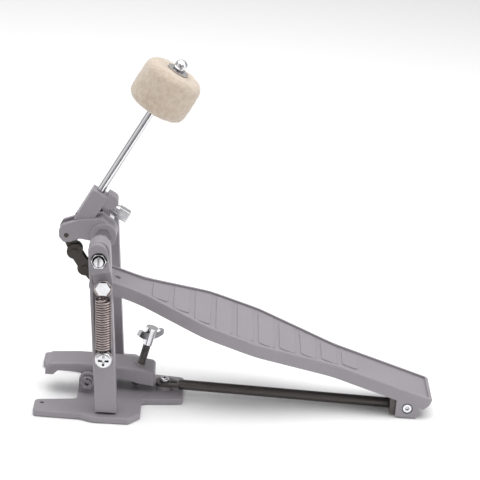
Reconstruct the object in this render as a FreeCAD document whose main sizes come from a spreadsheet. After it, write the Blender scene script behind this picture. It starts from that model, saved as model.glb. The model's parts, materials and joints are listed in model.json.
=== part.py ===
import FreeCAD, Part
import math
import os
import re
import Sketcher

# Bass drum pedal. Millimetres, +Z up, +X toward the heel, -Y the side that carries the return spring.
# The origin is on the floor under the axle, half-way between the two posts.
os.makedirs("parts", exist_ok=True)
V = FreeCAD.Vector
doc = FreeCAD.newDocument("bass_drum_pedal")
sheet = doc.addObject("Spreadsheet::Sheet", "Sizes")

SIZES = {
    # clearances
    "fit": 0.05,                # radial running fit and fit of screws in their holes
    "gap": 0.3,                 # clearance between parts that pass each other
    # base plate
    "plate_thick": 3.5, "plate_half": "=post_outer + 4.6", "plate_front": 11.7, "plate_rear": 29.2,
    "tail_rear": 55.0, "tail_half": 18.0, "arm_reach": 37.4, "arm_inner": 30.2,
    "arm_outer": "=post_outer - 0.7",
    "arm_root_inner": 25.8, "corner_round": 3.0, "arm_hole_x": 32.6, "arm_hole_y": 35.4,
    "arm_hole_radius": 1.45, "lug_inner": 11.5, "lug_thick": 3.5, "lug_radius": 5.5,
    "boss_x": 42.7, "boss_y": 2.0, "boss_radius": 5.3, "boss_tall": 3.0,
    # posts, raked toward the drum
    "axle_height": 106.0, "rake_run": 8.4, "post_inner": 37.2, "post_thick": 11.9,
    "post_outer": "=post_inner + post_thick",
    "post_width": 13.4, "post_crown": 3.9, "rim_wide": 1.9, "recess_deep": 2.5,
    "recess_low": 36.0, "recess_high": "=axle_height - 21", "window_low": "=axle_height - 18",
    "window_high": "=axle_height - 7.5",
    "foot_inset": 4.6, "foot_tall": 1.6, "foot_screw": 2.5, "foot_screw_long": 16.0,
    "foot_head": 4.9, "foot_head_deep": 2.4,
    # axle and its bushings
    "journal": 3.0, "hex_flats": 8.4, "bush_wall": 1.5, "bush_flange": 5.6, "bush_flange_thick": 0.8,
    "axle_near": "=post_outer + 8.1",
    "axle_far": "=post_outer + 5.4", "nut_flats": 9.0, "nut_thick": 3.4,
    # hub, cam arm and beater socket
    "hub_half": 7.0, "hub_radius": 8.2, "barrel_half": 8.2, "cam_back": 23.1, "cam_drop": 1.1, "fork_half": 3.4,
    "fork_deep": 7.6, "cam_pin": 1.5, "lean": 29.0, "socket_x": 1.4, "socket_top": "=axle_height + 30.5",
    "socket_half": 5.6, "socket_cut": 4.0, "socket_long": 27.0, "socket_front": 4.9, "socket_back": 5.9,
    "socket_bore_deep": 20.0, "clamp_boss": 4.5, "clamp_boss_out": 10.5, "clamp_drop": 9.3,
    "lobe_radius": 4.3, "lobe_drop": 5.6, "lobe_out": 9.1, "lobe_half": 4.8, "clamp_collar": 1.2, "clamp_screw": 3.0,
    "clamp_head": 7.0, "clamp_head_in": 16.2, "clamp_head_out": 23.6,
    # beater
    "rod_radius": 2.5, "rod_in": 16.0, "rod_long": 108.5, "felt_up": 72.7, "felt_radius": 19.0,
    "felt_tall": 28.0, "felt_round": 5.5, "washer_radius": 7.0, "washer_thick": 1.0, "ball_radius": 4.0,
    # drive chain
    "pitch": 12.7, "link_half": 4.9, "link_waist": 3.3, "outer_in": 3.1, "inner_in": 1.7, "link_thick": 1.2,
    "chain_pin": 1.8, "chain_pin_half": 5.0, "bush_radius": 2.5, "roller_radius": 4.0,
    "turn_one": 24.5, "turn_two": 33.7, "turn_three": 42.1, "toe_pin_half": 8.4, "toe_slack": 1.7,
    # spring crank, spring and anchor
    "crank_x": 3.3, "crank_drop": 16.4, "crank_half": 5.7, "crank_over": 4.5,
    "crank_in": "=post_outer + gap",
    "crank_thick": 4.5, "crank_step": 2.5, "crank_pocket": 1.6, "stub_neck": 2.75, "stub_head": 4.0,
    "stub_near": "=post_outer + 9.4", "stub_head_thick": 2.0, "anchor_x": 5.5, "anchor_height": 42.9,
    "anchor_radius": 2.5, "anchor_collar": 4.0, "anchor_head": 5.25, "anchor_head_thick": 3.0, "anchor_flats": 7.0,
    "spring_y": "=post_outer + 5.3", "spring_radius": 4.35, "wire": 0.65, "coil_start": 5.6,
    "spring_rise": "=axle_height - crank_drop - anchor_height", "spring_run": "=crank_x - anchor_x",
    "spring_span": "=sqrt(spring_run^2 + spring_rise^2)", "coil_long": "=spring_span - 12.55",
    "coil_pitch": 1.71, "loop_radius": 4.85,
    # clamp lever and wing bolt
    "lever_x": 5.7, "lever_height": 11.0, "lever_half": 11.0, "lever_front": 33.0, "lever_rear": 36.5,
    "lever_pin": 2.5, "lever_boss": 4.6, "lever_wall": 2.6, "lever_top": 20.6, "lever_skin": 3.2,
    "pin_head": 4.2, "pin_head_thick": 2.4, "bolt_x": 23.8, "bolt_lean": 13.4, "bolt_radius": 2.5,
    "bolt_long": 31.0, "tip_lift": 0.9, "hub_start": 29.0, "bolt_hub_radius": 3.2, "hub_long": 11.8, "hub_cap": 1.8,
    "bolt_boss": 5.2, "wing_half": 11.0, "wing_turn": 45.0, "wing_thick": 2.6, "wing_low": 3.0, "wing_tall": 7.2,
    # footboard, sloping from the chain's last pin down to the heel pivot
    "pivot_height": 6.3, "pivot_back": 13.1, "pivot_drop": 11.1,
    "board_long": 229.0, "toe_half": 15.0, "toe_straight": 196.0, "wide_half": 33.0,
    "wide_start": 152.0, "wide_end": 118.0, "waist": 66.0, "heel_half": 19.5, "skirt": 8.2,
    "board_wall": 2.6, "board_rim": 2.6, "panel_drop": 1.3, "panel_skin": 2.2, "blend": 45.0,
    "rib_first": 50.5, "rib_pitch": 14.3, "rib_rise": 0.7, "rib_long": 10.6, "rib_margin": 1.8, "ear_inner": 16.4,
    "heel_lip": 3.8, "toe_hole": 2.2, "toe_hole_in": 15.6, "toe_pin_in": 5.25, "toe_pin_drop": 8.1,
    "toe_lug": 5.6, "toe_lug_in": 5.2, "toe_lug_thick": 3.0, "notch_half": 5.2, "notch_deep": 9.5,
    "pivot_screw": 2.0, "pivot_head": 2.7, "pivot_head_sunk": 1.4,
    "toe_pin_x": "=-cam_back + pitch * (sin(turn_one) + sin(turn_two) + sin(turn_three))",
    "toe_pin_z": "=axle_height - cam_drop - pitch * (cos(turn_one) + cos(turn_two) + cos(turn_three))",
    "reach_along": "=board_long - toe_pin_in - pivot_back", "reach_up": "=pivot_drop - toe_pin_drop",
    "reach": "=sqrt(reach_along^2 + reach_up^2)",
    "climb": "=asin((toe_pin_z - pivot_height) / reach) / 1deg",
    "slope": "=climb - atan(reach_up / reach_along) / 1deg", "pivot_x": "=toe_pin_x + reach * cos(climb)",
    # connecting rod and heel bracket
    "strut_radius": 3.25, "strut_y": 4.5, "spigot_height": 3.5,
    "strut_fall": "=atan((strut_z - spigot_height) / (bracket_front - strut_start)) / 1deg", "strut_start": 52.0,
     "strut_z": 7.85,
    "tab_thick": 2.1, "tab_screw": 1.7, "tab_head": 3.1, "tab_head_tall": 2.3, "spigot": 1.8,
    "bracket_front": "=pivot_x - 10.9", "bracket_rear": "=pivot_x + 5.6", "bracket_out": 16.0, "bracket_wall": 2.2,
    "bracket_low": 1.4, "bracket_high": 13.0, "bracket_web": 2.6,
}
for row, (alias, value) in enumerate(SIZES.items(), start=1):
    sheet.set(f"A{row}", alias)
    sheet.set(f"B{row}", str(value))
    sheet.setAlias(f"B{row}", alias)
doc.recompute()

ALONG_X, ALONG_Y, ALONG_Z = V(1, 0, 0), V(0, 1, 0), V(0, 0, 1)
ACROSS = (ALONG_X, -90)                       # turns an upright primitive to run along +Y
SIDES = (-1, 1)


def bound(text):
    """A formula with each size it names written as a reference to the sheet."""
    return re.sub(r"[A-Za-z_]\w*", lambda m: "Sizes." + m[0] if m[0] in SIZES else m[0], str(text))


def place(thing, at, turn=None):
    if turn:
        thing.Placement = FreeCAD.Placement(V(), FreeCAD.Rotation(turn[0], 10))
        thing.setExpression("Placement.Rotation.Angle", f"({bound(turn[1])}) * 1deg")
    for axis, value in zip("xyz", at):
        thing.setExpression(f"Placement.Base.{axis}", bound(value))


def new_body(name, at=(0, 0, 0), turn=None):
    body = doc.addObject("PartDesign::Body", name)
    body.Label = name
    place(body, at, turn)
    return body


def outline(body, name, role, start, points, yaw=None):
    """A closed outline of straight sides on one of the body's own planes, or that plane turned by yaw."""
    sketch = body.newObject("Sketcher::SketchObject", f"{body.Name}_{name}_outline")
    plane = next(f for f in body.Origin.OriginFeatures if f.Role == role + "_Plane")
    sketch.AttachmentSupport = (plane, [""])
    sketch.MapMode = "FlatFace"
    if yaw:
        sketch.AttachmentOffset = FreeCAD.Placement(V(), FreeCAD.Rotation(ALONG_Y, 10))
        sketch.setExpression("AttachmentOffset.Rotation.Angle", f"({bound(yaw)}) * 1deg")
    sketch.setExpression("AttachmentOffset.Base.z", bound(start))
    count = len(points)
    ring = [V(20 * math.cos(2 * math.pi * i / count), 20 * math.sin(2 * math.pi * i / count), 0)
            for i in range(count)]
    for i in range(count):
        sketch.addGeometry(Part.LineSegment(ring[i], ring[(i + 1) % count]), False)
    for i in range(count):
        sketch.addConstraint(Sketcher.Constraint("Coincident", i, 2, (i + 1) % count, 1))
    for i, point in enumerate(points):
        for kind, value, begin in zip(("DistanceX", "DistanceY"), point, ring[i]):
            n = sketch.addConstraint(Sketcher.Constraint(kind, i, 1, begin))
            sketch.setExpression(f"Constraints[{n}]", bound(value))
    return sketch


def slab(body, name, role, start, length, points, cut=False, yaw=None):
    """Material added or cut from start to start + length along the plane's normal."""
    sketch = outline(body, name, role, start, points, yaw)
    feature = body.newObject("PartDesign::" + ("Pocket" if cut else "Pad"), f"{body.Name}_{name}")
    feature.Profile = sketch
    feature.setExpression("Length", bound(length))
    feature.Reversed = cut
    return feature


def piece(body, name, kind, at, turn=None, cut=False, sides=None, **sizes):
    """A primitive added to the body or cut from it."""
    feature = body.newObject("PartDesign::" + ("Subtractive" if cut else "Additive") + kind,
                             f"{body.Name}_{name}")
    if sides:
        feature.Polygon = sides
    for key, value in sizes.items():
        feature.setExpression(key, bound(value))
    place(feature, at, turn)
    return feature


def disc(body, name, radius, length, at, turn=None, cut=False):
    return piece(body, name, "Cylinder", at, turn, cut, Radius=radius, Height=length)


def hexagon(body, name, flats, length, at, turn=None, cut=False):
    return piece(body, name, "Prism", at, turn, cut, 6, Circumradius=f"({flats}) / 2 / cos(30)",
                 Height=length)


def block(body, name, at, size, turn=None, cut=False):
    return piece(body, name, "Box", at, turn, cut, Length=size[0], Width=size[1], Height=size[2])


def soften(body, name, radius, pick):
    """Rounds every edge of the body so far that pick chooses."""
    doc.recompute()
    base = body.Tip
    chosen = [f"Edge{i}" for i, edge in enumerate(base.Shape.Edges, start=1) if pick(edge)]
    feature = body.newObject("PartDesign::Fillet", f"{body.Name}_{name}")
    feature.Base = (base, chosen)
    feature.setExpression("Radius", bound(radius))
    return feature


def runs(edge, axis):
    return edge.Curve.TypeId == "Part::GeomLine" and abs(abs(edge.Curve.Direction.dot(axis)) - 1) < 1e-6


def lies(edge, axis, level):
    """The whole edge lies in the plane at this level along the axis."""
    return all(abs(edge.valueAt(t).dot(axis) - level) < 1e-4 for t in
               [edge.FirstParameter + (edge.LastParameter - edge.FirstParameter) * k / 4 for k in range(5)])


def mirrored(half):
    """Half an outline, (x, y) from the front edge round to the rear, with its other side added."""
    return half + [(x, f"-({y})") for x, y in reversed(half)]


def both_sides(name, one):
    """One node holding a part and its mirror image across the pedal's middle plane."""
    other = doc.addObject("Part::Mirroring", one.Name + "_other")
    other.Source = one
    other.Normal = ALONG_Y
    node = doc.addObject("Part::Compound", name)
    node.Label = name
    node.Links = [one, other]
    return node


nodes = []

# ---------------------------------------------------------------- base plate
plate = new_body("base_plate")
slab(plate, "sheet", "XY", 0, "plate_thick", mirrored([
    ("-plate_front", "arm_root_inner"), ("-arm_reach", "arm_inner"), ("-arm_reach", "arm_outer"),
    ("-plate_front + 4.2", "arm_outer + 1.4"), ("-0.4", "plate_half"), ("plate_rear - 6.8", "plate_half"),
    ("plate_rear", "plate_half - 9.4"), ("plate_rear", "tail_half + 3.5"), ("tail_rear", "tail_half")]))
soften(plate, "corners", "corner_round", lambda e: runs(e, ALONG_Z))
soften(plate, "upper_edge", 0.8, lambda e: lies(e, ALONG_Z, SIZES["plate_thick"]))
disc(plate, "rod_boss", "boss_radius", "boss_tall + 1", ("boss_x", "-boss_y", "plate_thick - 1"))
for side in SIDES:
    low = "lug_inner" if side > 0 else "-lug_inner - lug_thick"
    block(plate, f"lug_foot_{side + 1}", ("-lever_x - lug_radius", low, "plate_thick - 1"),
          ("2 * lug_radius", "lug_thick", "lever_height - plate_thick + 1"))
    disc(plate, f"lug_head_{side + 1}", "lug_radius", "lug_thick", ("-lever_x", low, "lever_height"), ACROSS)
    disc(plate, f"arm_hole_{side + 1}", "arm_hole_radius", "plate_thick + 2",
         ("-arm_hole_x", f"{side} * arm_hole_y", -1), cut=True)
    foot_at = ("rake_run * (1 - plate_thick / axle_height)",
               f"{side} * (post_inner + (post_thick - foot_inset) / 2)")
    disc(plate, f"foot_hole_{side + 1}", "foot_screw + fit", "plate_thick + 2", foot_at + (-1,), cut=True)
    piece(plate, f"foot_sink_{side + 1}", "Cone", foot_at + (0,), cut=True, Radius1="foot_head + fit",
          Radius2="foot_screw + fit", Height="foot_head_deep")
disc(plate, "lug_bore", "lever_pin + fit", "2 * lug_inner + 2 * lug_thick + 4",
     ("-lever_x", "-lug_inner - lug_thick - 2", "lever_height"), ACROSS, cut=True)
disc(plate, "rod_screw_hole", "tab_screw + fit", "plate_thick + boss_tall + 2", ("boss_x", "-boss_y", -1),
     cut=True)
nodes.append(plate)


# ---------------------------------------------------------------- posts
def rake(z, shift=0):
    return f"rake_run * (1 - ({z}) / axle_height) + ({shift})"


def post(name, side):
    """A raked post with a framed recess on its outer face and a window under the axle boss."""
    body = new_body(name)
    outer = "post_outer"

    def along(depth_from, depth_to):
        """Start and length along the sketch normal, -Y, for a slab between two depths from the middle."""
        first = f"{depth_from}" if side < 0 else f"-({depth_to})"
        return first, f"({depth_to}) - ({depth_from})"

    def strip(low, high, half):
        return [(rake(low, f"-({half})"), low), (rake(low, half), low),
                (rake(high, half), high), (rake(high, f"-({half})"), high)]

    top = "axle_height + post_crown"
    slab(body, "shaft", "XZ", *along("post_inner", outer), strip("plate_thick", top, "post_width / 2"))
    start, length = along("post_inner", outer)
    disc(body, "crown", "post_width / 2", length,
         (rake(top), "post_inner" if side > 0 else f"-({outer})", top), ACROSS)
    face = side * (SIZES["post_inner"] + SIZES["post_thick"])
    soften(body, "outer_edge", 0.9, lambda e: lies(e, ALONG_Y, face))
    inner_half = "post_width / 2 - rim_wide"
    slab(body, "recess", "XZ", *along(f"{outer} - recess_deep", f"{outer} + 1"),
         strip("recess_low", "recess_high", inner_half), cut=True)
    slab(body, "window", "XZ", *along("post_inner - 1", f"{outer} + 1"),
         strip("window_low", "window_high", inner_half), cut=True)
    soften(body, "recess_corners", 1.8, lambda e: runs(e, ALONG_Y) and e.CenterOfMass.z > 30
           and abs(e.CenterOfMass.z - SIZES["axle_height"] - SIZES["post_crown"]) > 8)
    slab(body, "foot", "XZ", *along(f"{outer} - foot_inset", f"{outer} + 1"),
         [("rake_run - post_width", "plate_thick - 1"), ("rake_run + post_width", "plate_thick - 1"),
          ("rake_run + post_width", "plate_thick + foot_tall"),
          ("rake_run - post_width", "plate_thick + foot_tall")], cut=True)
    disc(body, "bush_bore", "journal + fit + bush_wall + fit", "post_thick + 2",
         (0, "post_inner - 1" if side > 0 else f"-({outer}) - 1", "axle_height"), ACROSS, cut=True)
    disc(body, "screw_hole", "foot_screw + fit", "foot_screw_long",
         ("rake_run * (1 - plate_thick / axle_height)",
          f"{side} * (post_inner + (post_thick - foot_inset) / 2)", 1), cut=True)
    if side < 0:
        disc(body, "anchor_hole", "anchor_radius + fit", "post_thick + 2",
             ("anchor_x", f"-({outer}) - 1", "anchor_height"), ACROSS, cut=True)
    nodes.append(body)


post("near_post", -1)
post("far_post", 1)

screw = new_body("post_screw")
foot_x = "rake_run * (1 - plate_thick / axle_height)"
foot_y = "-(post_inner + (post_thick - foot_inset) / 2)"
piece(screw, "head", "Cone", (foot_x, foot_y, 0), Radius1="foot_head", Radius2="foot_screw",
      Height="foot_head_deep")
disc(screw, "shank", "foot_screw", "foot_screw_long - foot_head_deep", (foot_x, foot_y, "foot_head_deep"))
hexagon(screw, "socket", 3, 1.8, (foot_x, foot_y, 0), cut=True)
nodes.append(both_sides("post_screws", screw))

bush = new_body("axle_bushing")
disc(bush, "sleeve", "journal + fit + bush_wall", "post_thick", (0, "-post_outer", "axle_height"),
     ACROSS)
disc(bush, "flange", "bush_flange", "bush_flange_thick", (0, "-post_inner", "axle_height"), ACROSS)
disc(bush, "bore", "journal + fit", "post_thick + bush_flange_thick + 2",
     (0, "-post_outer - 1", "axle_height"), ACROSS, cut=True)
nodes.append(both_sides("axle_bushings", bush))

# ---------------------------------------------------------------- axle group
axle = new_body("axle")
hex_half = "post_inner - bush_flange_thick - fit"
hexagon(axle, "middle", "hex_flats", f"2 * ({hex_half})", (0, f"-({hex_half})", "axle_height"), ACROSS)
disc(axle, "journals", "journal", "axle_near + axle_far", (0, "-axle_near", "axle_height"), ACROSS)
block(axle, "driver_slot", (-0.6, "-axle_near - 1", "axle_height - 5"), (1.2, 2.2, 10), cut=True)
nodes.append(axle)

hub = new_body("beater_hub")
cam_x, cam_z = "-cam_back", "axle_height - cam_drop"
tilt = (ALONG_Y, "lean")


def on_rod(down, out=0):
    """World x and z of a point this far below the socket's mouth along the rod and out toward the heel."""
    return (f"-socket_x - ({down}) * sin(lean) + ({out}) * cos(lean)",
            f"socket_top - ({down}) * cos(lean) - ({out}) * sin(lean)")


socket = on_rod("socket_long", "-socket_front")
block(hub, "socket", (socket[0], "-socket_half", socket[1]),
      ("socket_front + socket_back", "2 * socket_half", "socket_long - socket_cut"), tilt)
soften(hub, "socket_edges", 0.8, lambda e: abs(abs(e.CenterOfMass.y) - SIZES["socket_half"]) < 1e-4)
slab(hub, "arm", "XZ", "-hub_half", "2 * hub_half", [
    ("-cam_back - 4.6", "axle_height - 2.6"), ("-cam_back - 1.6", "axle_height - 6"),
    ("-cam_back + 2.4", "axle_height - 5.6"), ("-cam_back + 8.6", "axle_height - 3.1"),
    ("-6.8", "axle_height - 4.2"), ("0", "axle_height - hub_radius + 1"), ("hub_radius - 1", "axle_height"),
    ("hub_radius - 2.2", "axle_height + 5"), ("-1.6", "axle_height + 11.3"), ("-15.6", "axle_height + 9.4"),
    ("-cam_back - 3", "axle_height + 5.5"), ("-cam_back - 4.9", "axle_height + 1.6")])
toe_edge = -SIZES["cam_back"] + 4
soften(hub, "arm_end", 2.4, lambda e: runs(e, ALONG_Y) and e.CenterOfMass.x < toe_edge)
soften(hub, "casting_edges", 0.7, lambda e: abs(abs(e.CenterOfMass.y) - SIZES["hub_half"]) < 1e-4
       and lies(e, ALONG_Y, math.copysign(SIZES["hub_half"], e.CenterOfMass.y)))
disc(hub, "barrel", "hub_radius", "2 * barrel_half", (0, "-barrel_half", "axle_height"), ACROSS)
soften(hub, "barrel_edges", 0.6, lambda e: abs(abs(e.CenterOfMass.y) - SIZES["barrel_half"]) < 1e-4)
screw_line = (ALONG_Y, "lean + 90")
boss = on_rod("clamp_drop", "2.6")
disc(hub, "clamp_boss", "clamp_boss", "clamp_boss_out - 2.6", (boss[0], 0, boss[1]), screw_line)
lobe, web = on_rod("lobe_drop", "lobe_out"), on_rod("lobe_drop + lobe_radius", "socket_back - 1")
disc(hub, "clamp_lobe", "lobe_radius", "2 * lobe_half", (lobe[0], "-lobe_half", lobe[1]), ACROSS)
block(hub, "clamp_web", (web[0], "-lobe_half", web[1]),
      ("lobe_out - socket_back + 1", "2 * lobe_half", "2 * lobe_radius"), tilt)
block(hub, "fork", ("-cam_back - 10", "-fork_half", "axle_height - 12"),
      ("10 + fork_deep", "2 * fork_half", 24), cut=True)
hexagon(hub, "axle_bore", "hex_flats + 2 * fit", "2 * barrel_half + 2", (0, "-barrel_half - 1", "axle_height"),
        ACROSS, cut=True)
disc(hub, "cam_pin_hole", "cam_pin + fit", "2 * hub_half + 2", (cam_x, "-hub_half - 1", cam_z), ACROSS, cut=True)
bore = on_rod("socket_bore_deep")
disc(hub, "rod_bore", "rod_radius + fit", "socket_bore_deep + 4", (bore[0], 0, bore[1]), tilt, cut=True)
threaded = on_rod("clamp_drop")
disc(hub, "clamp_thread", "clamp_screw + fit", "clamp_boss_out + 5", (threaded[0], 0, threaded[1]),
     screw_line, cut=True)
disc(hub, "grub_hole", "cam_pin + fit", "hub_radius + 4", (0, 0, "axle_height - hub_radius - 4"), cut=True)
nodes.append(hub)

cam_pin = new_body("cam_pin", (cam_x, 0, cam_z))
disc(cam_pin, "pin", "cam_pin", "2 * hub_half", (0, "-hub_half", 0), ACROSS)
nodes.append(cam_pin)

grub = new_body("hub_grub_screw")
disc(grub, "thread", "cam_pin", "hub_radius - hex_flats / 2 + 0.4 - 2 * fit",
     (0, 0, "axle_height - hub_radius - 0.4"))
hexagon(grub, "socket", 1.5, 1.2, (0, 0, "axle_height - hub_radius - 0.4"), cut=True)
nodes.append(grub)

clamp = new_body("beater_clamp_screw", (threaded[0], 0, threaded[1]), screw_line)
disc(clamp, "shank", "clamp_screw", "clamp_head_in - rod_radius - fit", (0, 0, "rod_radius + fit"))
disc(clamp, "collar", "clamp_head / 2", "clamp_collar", (0, 0, "clamp_head_in - clamp_collar"))
block(clamp, "head", ("-clamp_head / 2", "-clamp_head / 2", "clamp_head_in"),
      ("clamp_head", "clamp_head", "clamp_head_out - clamp_head_in"))
soften(clamp, "head_edges", 0.6, lambda e: e.CenterOfMass.z > SIZES["clamp_head_in"] + 0.1
       and e.Curve.TypeId == "Part::GeomLine")
nodes.append(clamp)

crank_turn = (ALONG_Y, "-(atan(crank_x / crank_drop)) / 1deg")
crank_far = "sqrt(crank_x^2 + crank_drop^2)"
crank = new_body("spring_crank", (0, 0, "axle_height"), crank_turn)
slab(crank, "plate", "XZ", "crank_in", "crank_thick", [
    ("-crank_half", f"-({crank_far})"), ("crank_half", f"-({crank_far})"),
    ("crank_half", "crank_over"), ("-crank_half", "crank_over")])
disc(crank, "top_end", "crank_half", "crank_thick", (0, "-crank_in - crank_thick", "crank_over"), ACROSS)
disc(crank, "stub_end", "crank_half", "crank_thick", (0, "-crank_in - crank_thick", f"-({crank_far})"), ACROSS)
slab(crank, "step", "XZ", "crank_in + crank_thick - crank_step", "crank_step + 1", [
    ("-2 * crank_half", "-2 * crank_drop"), ("2 * crank_half", "-2 * crank_drop"),
    ("2 * crank_half", "-crank_drop / 2"), ("-2 * crank_half", "-crank_drop / 2")], cut=True)
disc(crank, "nut_pocket", "crank_half - 0.7", "crank_pocket + 1",
     (0, "-crank_in - crank_thick - 1", 0), ACROSS, cut=True)
disc(crank, "axle_bore", "journal + fit", "crank_thick + 2", (0, "-crank_in - crank_thick - 1", 0), ACROSS,
     cut=True)
disc(crank, "stub_bore", "stub_neck + fit", "crank_thick + 2",
     (0, "-crank_in - crank_thick - 1", f"-({crank_far})"), ACROSS, cut=True)
nodes.append(crank)

stub = new_body("crank_stub", ("crank_x", 0, "axle_height - crank_drop"))
disc(stub, "neck", "stub_neck", "stub_near - stub_head_thick - crank_in", (0, "-stub_near + stub_head_thick", 0),
     ACROSS)
disc(stub, "washer_face", "stub_head + 0.5", "stub_head_thick / 3", (0, "-stub_near + stub_head_thick * 2 / 3", 0),
     ACROSS)
hexagon(stub, "head", "2 * stub_head", "stub_head_thick * 2 / 3", (0, "-stub_near", 0), ACROSS)
nodes.append(stub)

lock = new_body("axle_lock_nut", (0, 0, "axle_height"))
lock_back = "crank_in + crank_thick - crank_pocket"
hexagon(lock, "body", "nut_flats - 0.6", "nut_thick", (0, f"-({lock_back}) - nut_thick", 0), ACROSS)
disc(lock, "bore", "journal + fit", "nut_thick + 2", (0, f"-({lock_back}) - nut_thick - 1", 0), ACROSS, cut=True)
piece(lock, "mouth", "Cone", (0, f"-({lock_back}) - nut_thick", 0), ACROSS, cut=True,
      Radius1="journal + fit + 0.9", Radius2="journal + fit", Height="0.9")
nodes.append(lock)

far_nut = new_body("axle_end_nut", (0, 0, "axle_height"))
hexagon(far_nut, "body", "nut_flats", "nut_thick", (0, "post_outer + fit + 0.8", 0), ACROSS)
disc(far_nut, "washer", "nut_flats / 2 + 0.6", 0.8, (0, "post_outer + fit", 0), ACROSS)
disc(far_nut, "bore", "journal + fit", "nut_thick + 3", (0, "post_outer - 1", 0), ACROSS, cut=True)
nodes.append(far_nut)

# ---------------------------------------------------------------- beater
root = on_rod("rod_in")
rod = new_body("beater_rod", (root[0], 0, root[1]), tilt)
disc(rod, "rod", "rod_radius", "rod_long", (0, 0, 0))
nodes.append(rod)

felt_base = on_rod("-felt_up + felt_tall / 2")
felt = new_body("felt_head", (felt_base[0], 0, felt_base[1]), tilt)
disc(felt, "felt", "felt_radius", "felt_tall", (0, 0, 0))
soften(felt, "rims", "felt_round", lambda e: e.Curve.TypeId == "Part::GeomCircle")
disc(felt, "rod_hole", "rod_radius", "felt_tall + 2", (0, 0, -1), cut=True)
nodes.append(felt)

for name, low in (("lower_washer", "-washer_thick"), ("upper_washer", "felt_tall")):
    washer = new_body(name, (felt_base[0], 0, felt_base[1]), tilt)
    disc(washer, "disc", "washer_radius", "washer_thick", (0, 0, low))
    disc(washer, "hole", "rod_radius + fit", "washer_thick + 2", (0, 0, f"{low} - 1"), cut=True)
    nodes.append(washer)

ball = new_body("ball_nut", (felt_base[0], 0, felt_base[1]), tilt)
rod_end = "rod_long - (felt_up - felt_tall / 2) - rod_in"
disc(ball, "collar", "ball_radius * 0.8", "ball_radius", (0, 0, "felt_tall + washer_thick"))
piece(ball, "dome", "Sphere", (0, 0, "felt_tall + washer_thick + ball_radius * 0.7"), Radius="ball_radius",
      Angle1="-40", Angle2="90")
disc(ball, "thread", "rod_radius + fit", f"{rod_end} - felt_tall - washer_thick + 1.2",
     (0, 0, "felt_tall + washer_thick - 1"), cut=True)
nodes.append(ball)

# ---------------------------------------------------------------- chain
hang = [(cam_x, cam_z)]
for turn in ("turn_one", "turn_two", "turn_three"):
    x, z = hang[-1]
    hang.append((f"{x} + pitch * sin({turn})", f"{z} - pitch * cos({turn})"))


def riveted_pin(name, at, half):
    body = new_body(name, (at[0], 0, at[1]))
    disc(body, "pin", "chain_pin", f"2 * ({half})", (0, f"-({half})", 0), ACROSS)
    nodes.append(body)


def eye_link(name, start, turn, inside, upper, lower, bushed):
    """Left and right plates of one link as a single node, with the bushings that join inner plates."""
    body = new_body(name + "_plate", (start[0], 0, start[1]), (ALONG_Y, f"-{turn}"))
    low = f"-({inside}) - link_thick"
    block(body, "bar", ("-link_waist", low, "-pitch"), ("2 * link_waist", "link_thick", "pitch"))
    for end, drop in enumerate((0, "-pitch")):
        disc(body, f"eye_{end}", "link_half", "link_thick", (0, low, drop), ACROSS)
        if bushed:
            disc(body, f"bush_{end}", "bush_radius", inside, (0, f"-({inside})", drop), ACROSS)
    for end, (drop, hole) in enumerate(((0, upper), ("-pitch", lower))):
        disc(body, f"hole_{end}", hole, "3 * outer_in", (0, "-2.5 * outer_in", drop), ACROSS, cut=True)
    nodes.append(both_sides(name, body))


eye_link("upper_link", hang[0], "turn_one", "inner_in", "cam_pin + fit", "chain_pin + fit", True)
eye_link("middle_link", hang[1], "turn_two", "outer_in", "chain_pin + fit", "chain_pin + fit", False)
eye_link("lower_link", hang[2], "turn_three", "inner_in", "chain_pin + fit", "chain_pin + fit", True)
riveted_pin("upper_link_pin", hang[1], "chain_pin_half")
riveted_pin("lower_link_pin", hang[2], "chain_pin_half")
riveted_pin("toe_pin", hang[3], "toe_pin_half")

for name, at in zip(("cam_roller", "upper_roller", "lower_roller", "toe_roller"), hang):
    roller = new_body(name, (at[0], 0, at[1]))
    disc(roller, "tread", "roller_radius", "2 * (inner_in - 0.1)", (0, "-inner_in + 0.1", 0), ACROSS)
    disc(roller, "bore", "bush_radius + fit", "4 * inner_in", (0, "-2 * inner_in", 0), ACROSS, cut=True)
    nodes.append(roller)

# ---------------------------------------------------------------- footboard
board = new_body("footboard", ("pivot_x + pivot_back * cos(slope) + pivot_drop * sin(slope)", 0,
                               "pivot_height - pivot_back * sin(slope) + pivot_drop * cos(slope)"),
                 (ALONG_Y, "slope"))


def leaf(inset, toe="0", heel="0"):
    """The footboard's plan, waisted before the heel, drawn this far inside its edge."""
    return mirrored([
        (f"-board_long + ({inset}) + ({toe})", f"toe_half - ({inset})"),
        ("-toe_straight", f"toe_half - ({inset})"), ("-wide_start", f"wide_half - ({inset})"),
        ("-wide_end", f"wide_half + 0.6 - ({inset})"), ("-waist", f"heel_half - ({inset})"),
        (f"-({inset}) - ({heel})", f"heel_half - ({inset})")])


def bend(edge):
    return runs(edge, ALONG_Z) and -SIZES["toe_straight"] - 1 < edge.CenterOfMass.x < -SIZES["waist"] + 1


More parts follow.
